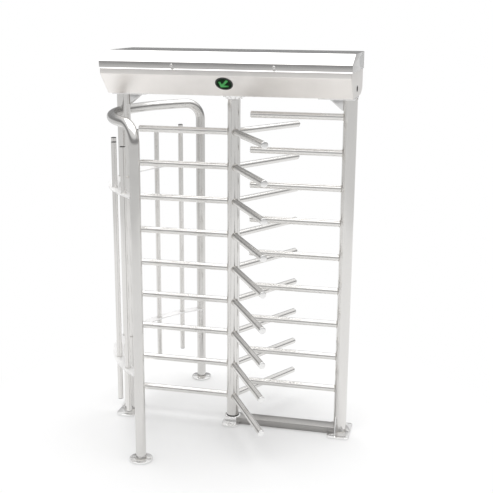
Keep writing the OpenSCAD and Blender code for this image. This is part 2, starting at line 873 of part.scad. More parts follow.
canopy_trough();
canopy_ends();
cable_grommet();
chassis_beam();
chassis_bolts();
head_plate_left();
head_plate_right();
post_left();
post_right();
base_plate_left();
base_plate_right();
post_gussets();
base_beam();
foot_plate();
foot_bearing();
column_seal();
head_bearing();
hoop_tube();
hoop_flanges();
band_lower();
band_upper();
cage_rod_1();
cage_rod_2();
cage_rod_3();
cage_rod_4();
cage_rod_5();
cage_rod_6();
rod_caps();
comb_bar_1();
comb_bar_2();
comb_bar_3();
comb_bar_4();
comb_bar_5();
comb_bar_6();
comb_bar_7();
comb_bar_8();
comb_bar_9();
comb_caps();
indicator_bezel();
indicator_lens();
lid_hinges();
lock_solenoids();
damper_body();
count_sensor();
control_box();
rotor_column();
wing_left();
wing_front();
wing_rear();
arm_caps();
rotor_shaft();
drive_gear();
lock_wheel();
lid();
lid_screws();
pawl_entry();
pawl_exit();
plunger_entry();
plunger_exit();
damper_pinion();
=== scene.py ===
"""Looks of the full-height visitor counter turnstile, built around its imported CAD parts.

Metres, in the CAD frame: the origin is on the floor under the rotor axis, X runs along the
canopy and Z is up. Tubes, plates and sheet metal are rebuilt here with fine meshes, bevelled
edges and weld beads; the mechanism inside the canopy keeps its CAD meshes.
"""

import json
from math import acos, atan2, cos, pi, radians, sin, sqrt, tan

import bmesh
import bpy
from mathutils import Matrix, Vector


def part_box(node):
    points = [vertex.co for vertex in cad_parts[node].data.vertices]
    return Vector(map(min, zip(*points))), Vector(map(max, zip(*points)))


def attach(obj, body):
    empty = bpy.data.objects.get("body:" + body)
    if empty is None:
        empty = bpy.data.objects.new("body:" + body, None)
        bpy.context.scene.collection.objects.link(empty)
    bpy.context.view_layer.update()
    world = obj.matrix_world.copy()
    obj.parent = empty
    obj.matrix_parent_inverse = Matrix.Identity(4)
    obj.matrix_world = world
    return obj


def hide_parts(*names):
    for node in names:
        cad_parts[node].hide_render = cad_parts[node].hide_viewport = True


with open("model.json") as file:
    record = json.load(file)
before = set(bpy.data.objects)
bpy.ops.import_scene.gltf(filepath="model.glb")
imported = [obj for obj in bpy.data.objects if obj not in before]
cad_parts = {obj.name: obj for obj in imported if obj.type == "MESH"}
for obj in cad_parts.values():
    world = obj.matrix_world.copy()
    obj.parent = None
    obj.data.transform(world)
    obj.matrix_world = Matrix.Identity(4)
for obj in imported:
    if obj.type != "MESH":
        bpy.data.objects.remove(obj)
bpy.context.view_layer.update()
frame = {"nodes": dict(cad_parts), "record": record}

LEVELS = 9
WING_ANGLES = {"wing_left": 180, "wing_front": -60, "wing_rear": 60}
TINY = 1e-7

# sizes that the frame's boxes don't give
CAP_T = 0.004
WALL = 0.002
POST_WALL = 0.003
COPE_LAP = 0.0006
BEAD = 0.0028
CAGE_X = 0.100
CAGE_R = 0.775
HOOP_SWEEP = radians(45)
HOOP_BEND = 0.105
ROD_CAP_T = 0.003
BAND_W = 0.060
SHEET = 0.002
FOLD_R = 0.005
PLATE_BEVEL = 0.0012


# ---------- the frame's own sizes ----------

def middle(node):
    low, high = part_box(node)
    return (low + high) / 2


def extent(node):
    low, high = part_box(node)
    return high - low


ARM_R = extent("wing_left").y / 2
ARM_LOW_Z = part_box("wing_left")[0].z + ARM_R
PITCH = (extent("wing_left").z - 2 * ARM_R) / (LEVELS - 1)
ARM_END = -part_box("wing_left")[0].x
COLUMN_R = extent("rotor_column").x / 2
POST_R = extent("post_left").x / 2
POST_X = middle("post_right").x
PLATE_T = extent("base_plate_left").z
HEAD_PLATE_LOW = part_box("post_left")[1].z
CANOPY_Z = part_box("canopy_trough")[0].z
HOOP_R = (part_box("hoop_tube")[1].y - CAGE_R * sin(HOOP_SWEEP)
          - HOOP_BEND * cos(HOOP_SWEEP))


# ---------- building surfaces ----------

class Shape:
    """Gathers the surfaces of one piece, with a grain coordinate at every point.

    The grain's third number runs along the brushing, so that one material can streak tubes
    that lie in any direction.
    """

    def __init__(self):
        self.points = []
        self.grain = []
        self.faces = []

    def point(self, position, grain):
        self.points.append(position)
        self.grain.append(grain)
        return len(self.points) - 1

    def skin(self, rings, closed):
        """Faces between rings of point numbers; a ring of one point is a pole."""
        following = rings[1:] + (rings[:1] if closed else [])
        for near, far in zip(rings, following):
            count = max(len(near), len(far))
            for k in range(count if count > 1 else 0):
                corners = [near[k % len(near)], near[(k + 1) % len(near)],
                           far[(k + 1) % len(far)], far[k % len(far)]]
                self.faces.append(list(dict.fromkeys(corners)))

    def revolve(self, profile, place, segments=64, closed=True):
        """Turns (radius, height) points about the local Z axis."""
        rings = []
        for radius, height in profile:
            count = segments if radius > TINY else 1
            ring = []
            for k in range(count):
                angle = 2 * pi * k / count
                local = Vector((radius * cos(angle), radius * sin(angle), height))
                ring.append(self.point(place @ local, local.zxy))
            rings.append(ring)
        self.skin(rings, closed)

    def tube(self, place, length, radius, wall=WALL, near_r=0.0, far_r=0.0, segments=48):
        """A hollow tube along the local Z axis, from 0 to length.

        near_r and far_r cope an end to fit round a post of that radius whose axis crosses
        the tube's own axis at that end and lies along local Y.
        """
        rings = []
        for r, far in ((radius, False), (radius, True), (radius - wall, True),
                       (radius - wall, False)):
            ring = []
            for k in range(segments):
                angle = 2 * pi * k / segments
                x, y = r * cos(angle), r * sin(angle)
                if far:
                    z = length - (sqrt(far_r ** 2 - x ** 2) if far_r else 0)
                else:
                    z = sqrt(near_r ** 2 - x ** 2) if near_r else 0
                ring.append(self.point(place @ Vector((x, y, z)), Vector((x, y, z))))
            rings.append(ring)
        self.skin(rings, closed=True)

    def sweep(self, path, radius, segments=48, ripple=0.0, closed=False):
        """A round bar along a path, with the ends capped unless the path is closed."""
        count = len(path)
        run = 0.0
        rings = []
        side = None
        for i, centre in enumerate(path):
            before = path[(i - 1) % count] if closed or i else centre
            after = path[(i + 1) % count] if closed or i < count - 1 else centre
            along = (after - before).normalized()
            side = (along.orthogonal() if side is None else side - along * side.dot(along))
            side.normalize()
            other = along.cross(side)
            run += (centre - path[i - 1]).length if i else 0
            r = radius * (1 + ripple * (i % 3 - 1))
            ring = []
            for k in range(segments):
                angle = 2 * pi * k / segments
                offset = side * (r * cos(angle)) + other * (r * sin(angle))
                grain = Vector((r * cos(angle), r * sin(angle), run))
                ring.append(self.point(centre + offset, grain))
            rings.append(ring)
        self.skin(rings, closed)
        if not closed:
            self.faces.append(rings[0])
            self.faces.append(rings[-1])

    def slab(self, outlines, thickness, place, bevel=PLATE_BEVEL):
        """A plate of that thickness about local Z = 0, with rounded edges.

        The first outline is the edge and the others are its holes.
        """
        curve = bpy.data.curves.new("outline", "CURVE")
        curve.dimensions = "2D"
        curve.fill_mode = "BOTH"
        curve.extrude = thickness / 2 - bevel
        curve.bevel_depth = bevel
        curve.bevel_resolution = 2
        curve.offset = -bevel
        for outline in outlines:
            spline = curve.splines.new("POLY")
            spline.points.add(len(outline) - 1)
            for knot, (x, y) in zip(spline.points, outline):
                knot.co = (x, y, 0, 1)
            spline.use_cyclic_u = True
        holder = bpy.data.objects.new("outline", curve)
        bpy.context.scene.collection.objects.link(holder)
        graph = bpy.context.evaluated_depsgraph_get()
        mesh = bpy.data.meshes.new_from_object(holder.evaluated_get(graph))
        first = len(self.points)
        for vertex in mesh.vertices:
            self.point(place @ vertex.co, vertex.co.yzx)
        for polygon in mesh.polygons:
            self.faces.append([first + v for v in polygon.vertices])
        bpy.data.objects.remove(holder)
        bpy.data.meshes.remove(mesh)
        bpy.data.curves.remove(curve)

    def weld(self, path, radius=BEAD):
        """A rippled bead along a closed path."""
        self.sweep(path, radius, segments=8, ripple=0.09, closed=True)

    def finish(self, name, material, body, nodes=(), sharp=35):
        """Makes the Blender object and puts it on its body."""
        mesh = bpy.data.meshes.new(name)
        mesh.from_pydata([tuple(p) for p in self.points], [], self.faces)
        attribute = mesh.attributes.new("grain", "FLOAT_VECTOR", "POINT")
        attribute.data.foreach_set("vector", [c for g in self.grain for c in g])
        work = bmesh.new()
        work.from_mesh(mesh)
        bmesh.ops.remove_doubles(work, verts=work.verts, dist=1e-6)
        bmesh.ops.dissolve_degenerate(work, edges=work.edges, dist=1e-7)
        bmesh.ops.recalc_face_normals(work, faces=work.faces)
        work.to_mesh(mesh)
        work.free()
        mesh.polygons.foreach_set("use_smooth", [True] * len(mesh.polygons))
        mesh.set_sharp_from_angle(angle=radians(sharp))
        mesh.materials.append(material)
        piece = bpy.data.objects.new(name, mesh)
        bpy.context.scene.collection.objects.link(piece)
        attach(piece, body)
        if nodes:
            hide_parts(*nodes)
        return piece


def at(x, y, z):
    return Matrix.Translation((x, y, z))


def turned(degrees, axis="Z"):
    return Matrix.Rotation(radians(degrees), 4, axis)


def facing(angle):
    """Local Z runs outward along a horizontal direction, and local Y stays vertical."""
    return turned(angle) @ turned(90, "Y") @ turned(90)


def circle(x, y, radius, count=40):
    return [(x + radius * cos(2 * pi * k / count), y + radius * sin(2 * pi * k / count))
            for k in range(count)]


def corner(before, point, after, radius, steps=6):
    """Points of one rounded corner of an outline."""
    p = Vector(point)
    u = (Vector(before) - p).normalized()
    v = (Vector(after) - p).normalized()
    half = acos(max(-1.0, min(1.0, u.dot(v)))) / 2
    if radius <= 0 or half > pi / 2 - 0.01:
        return [tuple(p)]
    centre = p + (u + v).normalized() * (radius / sin(half))
    start = p + u * (radius / tan(half)) - centre
    sweep = (pi - 2 * half) * (1 if u.y * v.x - u.x * v.y > 0 else -1)
    return [tuple(centre + Matrix.Rotation(sweep * i / steps, 2) @ start)
            for i in range(steps + 1)]


def rounded(points, radii):
    count = len(points)
    outline = []
    for i in range(count):
        outline += corner(points[i - 1], points[i], points[(i + 1) % count], radii[i])
    return outline


def rectangle(width, length, radius):
    w, h = width / 2, length / 2
    return rounded([(-w, -h), (w, -h), (w, h), (-w, h)], [radius] * 4)


def ring_path(centre, radius, count=60):
    return [centre + Vector((radius * cos(2 * pi * k / count),
                             radius * sin(2 * pi * k / count), 0)) for k in range(count)]


def saddle_path(place, tube_r, post_r, offset, count=60):
    """The line where a tube along local Z meets a post whose axis is local Y."""
    path = []
    for k in range(count):
        angle = 2 * pi * k / count
        x, y = tube_r * cos(angle), tube_r * sin(angle)
        z = sqrt(post_r ** 2 - x ** 2)
        path.append(place @ Vector((x, y, offset - z if offset else z)))
    return path


# ---------- materials ----------

def new_material(name):
    material = bpy.data.materials.new(name)
    material.use_nodes = True
    nodes = material.node_tree.nodes
    return material, nodes, material.node_tree.links, nodes["Principled BSDF"]


def coordinates(nodes, links, scale, from_grain=True):
    """The grain attribute, or the object's own coordinates, stretched by scale."""
    if from_grain:
        source = nodes.new("ShaderNodeAttribute")
        source.attribute_name = "grain"
        output = source.outputs["Vector"]
    else:
        source = nodes.new("ShaderNodeTexCoord")
        output = source.outputs["Object"]
    stretch = nodes.new("ShaderNodeVectorMath")
    stretch.operation = "MULTIPLY"
    stretch.inputs[1].default_value = scale
    links.new(output, stretch.inputs[0])
    return stretch.outputs[0]


def noise(nodes, links, vector, scale, detail=3.0, roughness=0.5):
    texture = nodes.new("ShaderNodeTexNoise")
    texture.inputs["Scale"].default_value = scale
    texture.inputs["Detail"].default_value = detail
    texture.inputs["Roughness"].default_value = roughness
    links.new(vector, texture.inputs["Vector"])
    return texture.outputs["Fac"]


def span(nodes, links, value, low, high):
    """Maps a noise value's usual 0.3 to 0.7 onto low to high."""
    mapped = nodes.new("ShaderNodeMapRange")
    mapped.inputs["From Min"].default_value = 0.3
    mapped.inputs["From Max"].default_value = 0.7
    mapped.inputs["To Min"].default_value = low
    mapped.inputs["To Max"].default_value = high
    links.new(value, mapped.inputs["Value"])
    return mapped.outputs[0]


def tones(nodes, links, value, dark, light):
    """A colour between two tones, by a noise value."""
    mixed = nodes.new("ShaderNodeMix")
    mixed.data_type = "RGBA"
    mixed.inputs["A"].default_value = (*dark, 1)
    mixed.inputs["B"].default_value = (*light, 1)
    links.new(span(nodes, links, value, 0, 1), mixed.inputs["Factor"])
    return mixed.outputs["Result"]


def bump(nodes, links, shader, value, strength, distance):
    node = nodes.new("ShaderNodeBump")
    node.inputs["Strength"].default_value = strength
    node.inputs["Distance"].default_value = distance
    links.new(value, node.inputs["Height"])
    links.new(node.outputs["Normal"], shader.inputs["Normal"])


def wear_and_edge_highlight(nodes, links, color, edge):
    """Lightens the colour along sharp edges: partly wear where hands and tools rub, partly a
    painted highlight along the edges.
    """
    geometry = nodes.new("ShaderNodeNewGeometry")
    ramp = nodes.new("ShaderNodeMapRange")
    ramp.inputs["From Min"].default_value = 0.52
    ramp.inputs["From Max"].default_value = 0.62
    links.new(geometry.outputs["Pointiness"], ramp.inputs["Value"])
    mixed = nodes.new("ShaderNodeMix")
    mixed.data_type = "RGBA"
    mixed.inputs["B"].default_value = (*edge, 1)
    links.new(color, mixed.inputs["A"])
    links.new(ramp.outputs[0], mixed.inputs["Factor"])
    return mixed.outputs["Result"]


def steel(name, tint, rough, streak=0.05, from_grain=True, stretch=(380, 380, 5),
          relief=0.12):
    """Satin stainless steel: fine streaks along the grain over broad cloudy smudges."""
    material, nodes, links, shader = new_material(name)
    shader.inputs["Metallic"].default_value = 1.0
    fine = noise(nodes, links, coordinates(nodes, links, stretch, from_grain), 1.0, 4.0, 0.6)
    broad = noise(nodes, links, coordinates(nodes, links, (1, 1, 1), from_grain), 9.0)
    dark = tuple(c * 0.93 for c in tint)
    color = tones(nodes, links, broad, dark, tint)
    # lighter colour for sharp edges: partly wear, partly a painted highlight along the edges
    edge = tuple(min(1.0, c * 1.12) for c in tint)
    links.new(wear_and_edge_highlight(nodes, links, color, edge), shader.inputs["Base Color"])
    mixed = nodes.new("ShaderNodeMath")
    mixed.operation = "ADD"
    links.new(span(nodes, links, fine, rough - streak, rough + streak), mixed.inputs[0])
    links.new(span(nodes, links, broad, -0.02, 0.03), mixed.inputs[1])
    links.new(mixed.outputs[0], shader.inputs["Roughness"])
    bump(nodes, links, shader, fine, relief, 0.0002)
    return material


def coated(name, dark, light, rough, grain_scale, metallic=0.0, relief=0.15):
    """Paint, plating, plastic or rubber with a mottled skin, for CAD meshes and small parts."""
    material, nodes, links, shader = new_material(name)
    shader.inputs["Metallic"].default_value = metallic
    vector = coordinates(nodes, links, (1, 1, 1), from_grain=False)
    fine = noise(nodes, links, vector, grain_scale, 4.0, 0.6)
    broad = noise(nodes, links, vector, 12.0)
    color = tones(nodes, links, broad, dark, light)
    # lighter colour for sharp edges: partly wear, partly a painted highlight along the edges
    edge = tuple(min(1.0, c * 1.35 + 0.02) for c in light)
    links.new(wear_and_edge_highlight(nodes, links, color, edge), shader.inputs["Base Color"])
    links.new(span(nodes, links, fine, rough - 0.07, rough + 0.07), shader.inputs["Roughness"])
    bump(nodes, links, shader, fine, relief, 0.0003)
    return material


WARM = (0.67, 0.66, 0.645)
tube_steel = steel("tube_steel", WARM, 0.17, streak=0.04)
plate_steel = steel("plate_steel", (0.88, 0.875, 0.87), 0.20)
canopy_steel = steel("canopy_steel", (0.86, 0.835, 0.81), 0.38, streak=0.02,
                     stretch=(420, 420, 4), relief=0.03)
lid_steel = steel("lid_steel", (0.64, 0.63, 0.62), 0.13, streak=0.02, stretch=(420, 420, 4),
                  relief=0.03)
band_steel = steel("band_steel", (0.93, 0.925, 0.92), 0.60, stretch=(300, 300, 40))
# a darker copy of the steel for the beam: painted shade, standing in for the shadowed floor that
# the beam's top reflects
shaded_beam_steel = steel("shaded_beam_steel", (0.40, 0.39, 0.38), 0.30)
weld_steel = steel("weld_steel", (0.56, 0.54, 0.51), 0.33, streak=0.08, stretch=(300, 300, 300))
machined_screw = steel("machined_screw", (0.80, 0.79, 0.78), 0.30, stretch=(200, 200, 900))
machined_steel = steel("machined_steel", (0.58, 0.57, 0.55), 0.25, from_grain=False,
                       stretch=(200, 200, 900))
zinc = coated("zinc", (0.50, 0.50, 0.48), (0.62, 0.61, 0.56), 0.35, 260, metallic=1.0)
brass = coated("brass", (0.62, 0.44, 0.18), (0.74, 0.56, 0.26), 0.30, 300, metallic=1.0)
black_steel = coated("black_steel", (0.05, 0.052, 0.056), (0.09, 0.09, 0.095), 0.42, 220,
                     metallic=0.8)
chassis_paint = coated("chassis_paint", (0.24, 0.26, 0.28), (0.30, 0.32, 0.34), 0.48, 340)
box_paint = coated("box_paint", (0.42, 0.47, 0.52), (0.48, 0.53, 0.58), 0.42, 380)
coil_plastic = coated("coil_plastic", (0.02, 0.025, 0.03), (0.035, 0.04, 0.05), 0.50, 500)
sensor_plastic = coated("sensor_plastic", (0.02, 0.06, 0.30), (0.03, 0.09, 0.38), 0.35, 400)
black_plastic = coated("black_plastic", (0.010, 0.010, 0.010), (0.020, 0.020, 0.020), 0.42, 600)
rubber = coated("rubber", (0.008, 0.008, 0.008), (0.016, 0.016, 0.016), 0.70, 700, relief=0.3)
bezel_plastic = coated("bezel_plastic", (0.010, 0.012, 0.011), (0.022, 0.024, 0.022), 0.30, 500)


def lens_material():
    """Smoked green plastic over a fine grid of lamps."""
    material, nodes, links, shader = new_material("lens_plastic")
    vector = coordinates(nodes, links, (1, 1, 1), from_grain=False)
    cells = nodes.new("ShaderNodeTexVoronoi")
    cells.inputs["Scale"].default_value = 260
    cells.inputs["Randomness"].default_value = 0.0
    links.new(vector, cells.inputs["Vector"])
    color = nodes.new("ShaderNodeMix")
    color.data_type = "RGBA"
    color.inputs["A"].default_value = (0.004, 0.030, 0.008, 1)
    color.inputs["B"].default_value = (0.002, 0.008, 0.003, 1)
    links.new(cells.outputs["Distance"], color.inputs["Factor"])
    links.new(color.outputs["Result"], shader.inputs["Base Color"])
    smudge = noise(nodes, links, vector, 40.0)
    links.new(span(nodes, links, smudge, 0.40, 0.55), shader.inputs["Roughness"])
    shader.inputs["Specular IOR Level"].default_value = 0.08
    return material


def arrow_material():
    """Lit green sign face, slightly uneven like a lamp behind a diffuser."""
    material, nodes, links, shader = new_material("arrow_light")
    vector = coordinates(nodes, links, (1, 1, 1), from_grain=False)
    glow = noise(nodes, links, vector, 60.0)
    color = tones(nodes, links, glow, (0.02, 0.22, 0.04), (0.04, 0.34, 0.07))
    links.new(color, shader.inputs["Base Color"])
    links.new(color, shader.inputs["Emission Color"])
    shader.inputs["Emission Strength"].default_value = 0.25
    links.new(span(nodes, links, glow, 0.25, 0.40), shader.inputs["Roughness"])
    return material


lens_plastic = lens_material()
arrow_light = arrow_material()


# ---------- rotor ----------

def rotor_column():
    low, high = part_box("rotor_column")
    shape = Shape()
    shape.tube(at(0, 0, low.z), high.z - low.z, COLUMN_R, POST_WALL, segments=72)
    shape.finish("column_tube", tube_steel, "rotor", ["rotor_column"])


def cap_profile(radius):
    """A shallow domed disc that closes a tube, outward along local Z."""
    return [(0, -0.001), (radius - 0.003, -0.001), (radius - 0.003, 0), (radius, 0.0),
            (radius, CAP_T - 0.0025), (radius - 0.0004, CAP_T - 0.0017),
            (radius - 0.0015, CAP_T - 0.0008), (radius - 0.004, CAP_T - 0.0002), (0, CAP_T)]


def wings():
    caps = Shape()
    welds = Shape()
    for node, angle in WING_ANGLES.items():
        arms = Shape()
        for level in range(LEVELS):
            place = at(0, 0, ARM_LOW_Z + level * PITCH) @ facing(angle)
            arms.tube(place, ARM_END, ARM_R, near_r=COLUMN_R - COPE_LAP)
            caps.revolve(cap_profile(ARM_R), place @ at(0, 0, ARM_END), 48, closed=False)
            welds.weld(saddle_path(place, ARM_R, COLUMN_R, 0))
        arms.finish(node + "_arms", tube_steel, "rotor", [node])
    caps.finish("arm_end_caps", plate_steel, "rotor", ["arm_caps"])
    welds.finish("arm_welds", weld_steel, "rotor")


# ---------- comb and posts ----------

def comb():
    caps = Shape()
    welds = Shape()
    for i in range(1, LEVELS + 1):
        node = "comb_bar_%d" % i
        low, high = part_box(node)
        bar = Shape()
        place = at(low.x, 0, (low.z + high.z) / 2) @ facing(0)
        length = POST_X - low.x
        bar.tube(place, length, ARM_R, far_r=POST_R - COPE_LAP)
        bar.finish(node + "_tube", tube_steel, "frame", [node])
        welds.weld(saddle_path(place, ARM_R, POST_R, length))
        cap_place = at(low.x, 0, (low.z + high.z) / 2) @ facing(180)
        caps.revolve(cap_profile(ARM_R), cap_place, 48, closed=False)
    caps.finish("comb_end_caps", plate_steel, "frame", ["comb_caps"])
    welds.finish("comb_welds", weld_steel, "frame")


def posts():
    welds = Shape()
    for node in ("post_left", "post_right"):
        low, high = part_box(node)
        shape = Shape()
        shape.tube(at(middle(node).x, 0, low.z), high.z - low.z, POST_R, POST_WALL, segments=72)
        shape.finish(node + "_tube", tube_steel, "frame", [node])
        for z in (low.z, high.z):
            welds.weld(ring_path(Vector((middle(node).x, 0, z)), POST_R, 96))
    welds.finish("post_welds", weld_steel, "frame")


# ---------- cage ----------

def hoop_path():
    """Up the front leg, round the arc and down the rear leg."""
    low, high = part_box("hoop_tube")
    top_z = high.z - HOOP_R
    up = Vector((0, 0, 1))
    halves = []
    for side in (1, -1):
        angle = pi + side * HOOP_SWEEP
        radial = Vector((cos(angle), sin(angle), 0))
        onward = Vector((-sin(angle), cos(angle), 0)) * side
        centre = Vector((CAGE_X, 0, top_z - HOOP_BEND)) + radial * CAGE_R
        foot = centre + onward * HOOP_BEND
        leg = [Vector((foot.x, foot.y, z)) for z in (low.z, centre.z - 0.002)]
        bend = [centre + (onward * cos(t) + up * sin(t)) * HOOP_BEND
                for t in (pi / 36 * k for k in range(19))]
        halves.append(leg + bend)
    arc = [Vector((CAGE_X + CAGE_R * cos(a), CAGE_R * sin(a), top_z))
           for a in (pi + HOOP_SWEEP * (1 - k / 40) for k in range(1, 80))]
    return halves[0] + arc + halves[1][::-1]


def rod_places():
    return [middle("cage_rod_%d" % i) for i in range(1, 7)]


def cage():
    hoop = Shape()
    hoop.sweep(hoop_path(), HOOP_R, 56)
    hoop.finish("hoop_pipe", tube_steel, "frame", ["hoop_tube"])
    caps = Shape()
    for i, centre in enumerate(rod_places(), 1):
        node = "cage_rod_%d" % i
        low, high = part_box(node)
        radius = (high.x - low.x) / 2
        rod = Shape()
        rod.tube(at(centre.x, centre.y, low.z), high.z - low.z, radius, segments=40)
        rod.finish(node + "_tube", tube_steel, "frame", [node])
        profile = [(0, -0.018), (radius - WALL, -0.018), (radius - WALL, 0), (radius, 0),
                   (radius, ROD_CAP_T - 0.0012), (radius - 0.0004, ROD_CAP_T - 0.0005),
                   (radius - 0.0014, ROD_CAP_T), (0, ROD_CAP_T)]
        caps.revolve(profile, at(centre.x, centre.y, high.z), 40, closed=False)
        caps.revolve(profile, at(centre.x, centre.y, low.z) @ turned(180, "X"), 40,
                     closed=False)
    caps.finish("rod_plugs", black_plastic, "frame", ["rod_caps"])


def bands():
    leg_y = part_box("hoop_tube")[1].y - HOOP_R
    leg_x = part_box("hoop_tube")[1].x - HOOP_R
    sweep = atan2(leg_y, CAGE_X - leg_x)
    steps = 64
    welds = Shape()
    for node in ("band_lower", "band_upper"):
        low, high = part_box(node)
        outer_r = CAGE_X - low.x
        inner_r = outer_r - BAND_W
        angles = [pi - sweep + 2 * sweep * k / steps for k in range(steps + 1)]
        outline = [(CAGE_X + outer_r * cos(a), outer_r * sin(a)) for a in angles]
        outline += [(CAGE_X + inner_r * cos(a), inner_r * sin(a)) for a in reversed(angles)]
        shape = Shape()
        shape.slab([outline], high.z - low.z, at(0, 0, (low.z + high.z) / 2))
        shape.finish(node + "_bar", band_steel, "frame", [node])
        rod_r = extent("cage_rod_1").x / 2
        for z in (low.z, high.z):
            for centre in rod_places():
                welds.weld(ring_path(Vector((centre.x, centre.y, z)), rod_r, 48), 0.0018)
            welds.weld(ring_path(Vector((-POST_X, 0, z)), POST_R, 96), 0.0022)
            for side in (-1, 1):
                arc = [Vector((leg_x + HOOP_R * cos(t), side * leg_y + HOOP_R * sin(t), z))
                       for t in (2 * pi * k / 64 for k in range(64))]
                arc = [p for p in arc
                       if inner_r - 0.004 < (p - Vector((CAGE_X, 0, z))).length < outer_r + 0.004
                       and abs(atan2(p.y, CAGE_X - p.x)) < sweep + 0.004]
                if len(arc) > 3:
                    welds.sweep(arc, 0.0022, segments=8, ripple=0.09)
    welds.finish("band_welds", weld_steel, "frame")


# ---------- feet ----------

def mount(name):
    return next(m for m in frame["record"]["mounts"] if m["name"] == name)


def mount_holes(name):
    """The anchor holes of one mount, about its own centre."""
    dims = mount(name)["dims"]
    radius = dims["hole_r_mm"] / 1000
    if "pcd_mm" in dims:
        r = dims["pcd_mm"] / 2000
        turn = 2 * pi / dims["count"]
        places = [(r * cos(turn * k), r * sin(turn * k)) for k in range(dims["count"])]
    else:
        x = dims.get("spacing_x_mm", 0) / 2000
        y = dims.get("spacing_y_mm", 0) / 2000
        places = sorted({(i * x, j * y) for i in (-1, 1) for j in (-1, 1)})
    return [circle(px, py, radius) for px, py in places]


def feet():
    for node, name, radius in (("base_plate_left", "post_foot_left", 0.040),
                               ("base_plate_right", "post_foot_right", 0.016),
                               ("foot_plate", "rotor_foot", 0.036)):
        size = extent(node)
        shape = Shape()
        shape.slab([rectangle(size.x, size.y, radius)] + mount_holes(name), size.z,
                   at(middle(node).x, 0, size.z / 2))
        shape.finish(node + "_steel", plate_steel, "frame", [node])
    flanges = Shape()
    welds = Shape()
    flange_r = extent("hoop_flanges").x / 2
    for name in ("hoop_foot_front", "hoop_foot_rear"):
        x, y, _ = mount(name)["pos_m"]
        flanges.slab([circle(0, 0, flange_r, 96)] + mount_holes(name), PLATE_T,
                     at(x, y, PLATE_T / 2), bevel=0.002)
        welds.weld(ring_path(Vector((x, y, PLATE_T)), HOOP_R, 72), 0.0035)
    flanges.finish("leg_flanges", plate_steel, "frame", ["hoop_flanges"])
    welds.finish("flange_welds", weld_steel, "frame")


def rib(shape, place, reach, height, thickness):
    """An upright rib with a sloping edge, outward along local X from a post's surface."""
    start = POST_R - 0.003
    outline = [(start, 0), (POST_R + reach, 0), (POST_R + reach, 0.008),
               (POST_R + 0.004, height), (start, height)]
    shape.slab([rounded(outline, [0, 0.001, 0.002, 0.002, 0])], thickness,
               place @ turned(90, "X"), bevel=0.001)


def gussets():
    thickness = 0.008
    offset = 0.020
    shape = Shape()
    for side in (-1, 1):
        post = at(side * POST_X, 0, PLATE_T) @ turned(0 if side > 0 else 180)
        rib(shape, post, 0.025, 0.050, thickness)
        tall = at(POST_X, 0, PLATE_T) @ turned(side * 90) @ at(0, side * offset, 0)
        rib(shape, tall, 0.042, 0.095, thickness)
    shape.finish("foot_ribs", plate_steel, "frame", ["post_gussets"])


def beam():
    low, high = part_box("base_beam")
    plate_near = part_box("foot_plate")[1].x
    plate_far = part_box("base_plate_right")[0].x
    outline = [(low.x, PLATE_T), (plate_near, PLATE_T), (plate_near, 0.0003),
               (plate_far, 0.0003), (plate_far, PLATE_T), (high.x, PLATE_T), (high.x, high.z),
               (low.x, high.z)]
    shape = Shape()
    shape.slab([outline], high.y - low.y, turned(90, "X"), bevel=0.003)
    shape.finish("beam_box", shaded_beam_steel, "frame", ["base_beam"])


def pedestal():
    size = extent("foot_bearing")
    radius = size.x / 2
    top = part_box("column_seal")[0].z - PLATE_T
    profile = [(0, 0), (radius, 0), (radius, top - 0.004), (radius - 0.0008, top - 0.0018),
               (radius - 0.0022, top - 0.0005), (radius - 0.004, top), (0, top)]
    shape = Shape()
    shape.revolve(profile, at(0, 0, PLATE_T), 80, closed=False)
    shape.finish("pivot_pedestal", plate_steel, "frame", ["foot_bearing"])
    low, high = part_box("column_seal")
    outer = (high.x - low.x) / 2
    height = high.z - low.z
    seal = Shape()
    seal.revolve([(0.017, 0), (outer, 0), (outer, 0.001), (outer - 0.002, height - 0.001),
                  (outer - 0.003, height), (0.017, height)], at(0, 0, low.z), 72)
    seal.finish("seal_ring", rubber, "frame", ["column_seal"])


# ---------- canopy ----------

def head():
    size = extent("head_bearing")
    radius = size.x / 2
    height = size.z
    bore = 0.01505
    profile = [(bore, 0), (radius - 0.017, 0), (radius - 0.0155, 0.0015),
               (radius - 0.014, 0.008), (radius - 0.003, 0.0105), (radius - 0.0008, 0.0115),
               (radius, 0.013), (radius, height), (bore, height)]
    shape = Shape()
    shape.revolve(profile, at(0, 0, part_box("head_bearing")[0].z), 80)
    shape.finish("bearing_collar", plate_steel, "frame", ["head_bearing"])


def thick_section(section, turn):
    """The closed outline of a sheet folded along an open line of points on its outside.

    The sheet's thickness lies to the right of the line for turn 1, to the left for -1.
    """
    count = len(section)
    inner = []
    for i, point in enumerate(section):
        before = Vector(section[max(i - 1, 0)])
        after = Vector(section[min(i + 1, count - 1)])
        along = (after - before).normalized()
        inner.append(tuple(Vector(point) + Vector((along.y, -along.x)) * (turn * SHEET)))
    return list(section) + inner[::-1]


def prism(shape, loop, cuts, count):
    """A folded section in Y and Z run along X through the cuts; count points are outside."""
    rings = []
    run = 0.0
    for i, (y, z) in enumerate(loop):
        run += (Vector(loop[i]) - Vector(loop[i - 1])).length if i else 0
        rings.append([shape.point(Vector((x, y, z)), Vector((run, 0, x))) for x in cuts])
    for near, far in zip(rings, rings[1:] + rings[:1]):
        for k in range(len(cuts) - 1):
            shape.faces.append([near[k], near[k + 1], far[k + 1], far[k]])
    for i in range(count - 1):
        back = len(loop) - 1 - i
        for end in (0, -1):
            shape.faces.append([rings[i][end], rings[i + 1][end], rings[back - 1][end],
                                rings[back][end]])


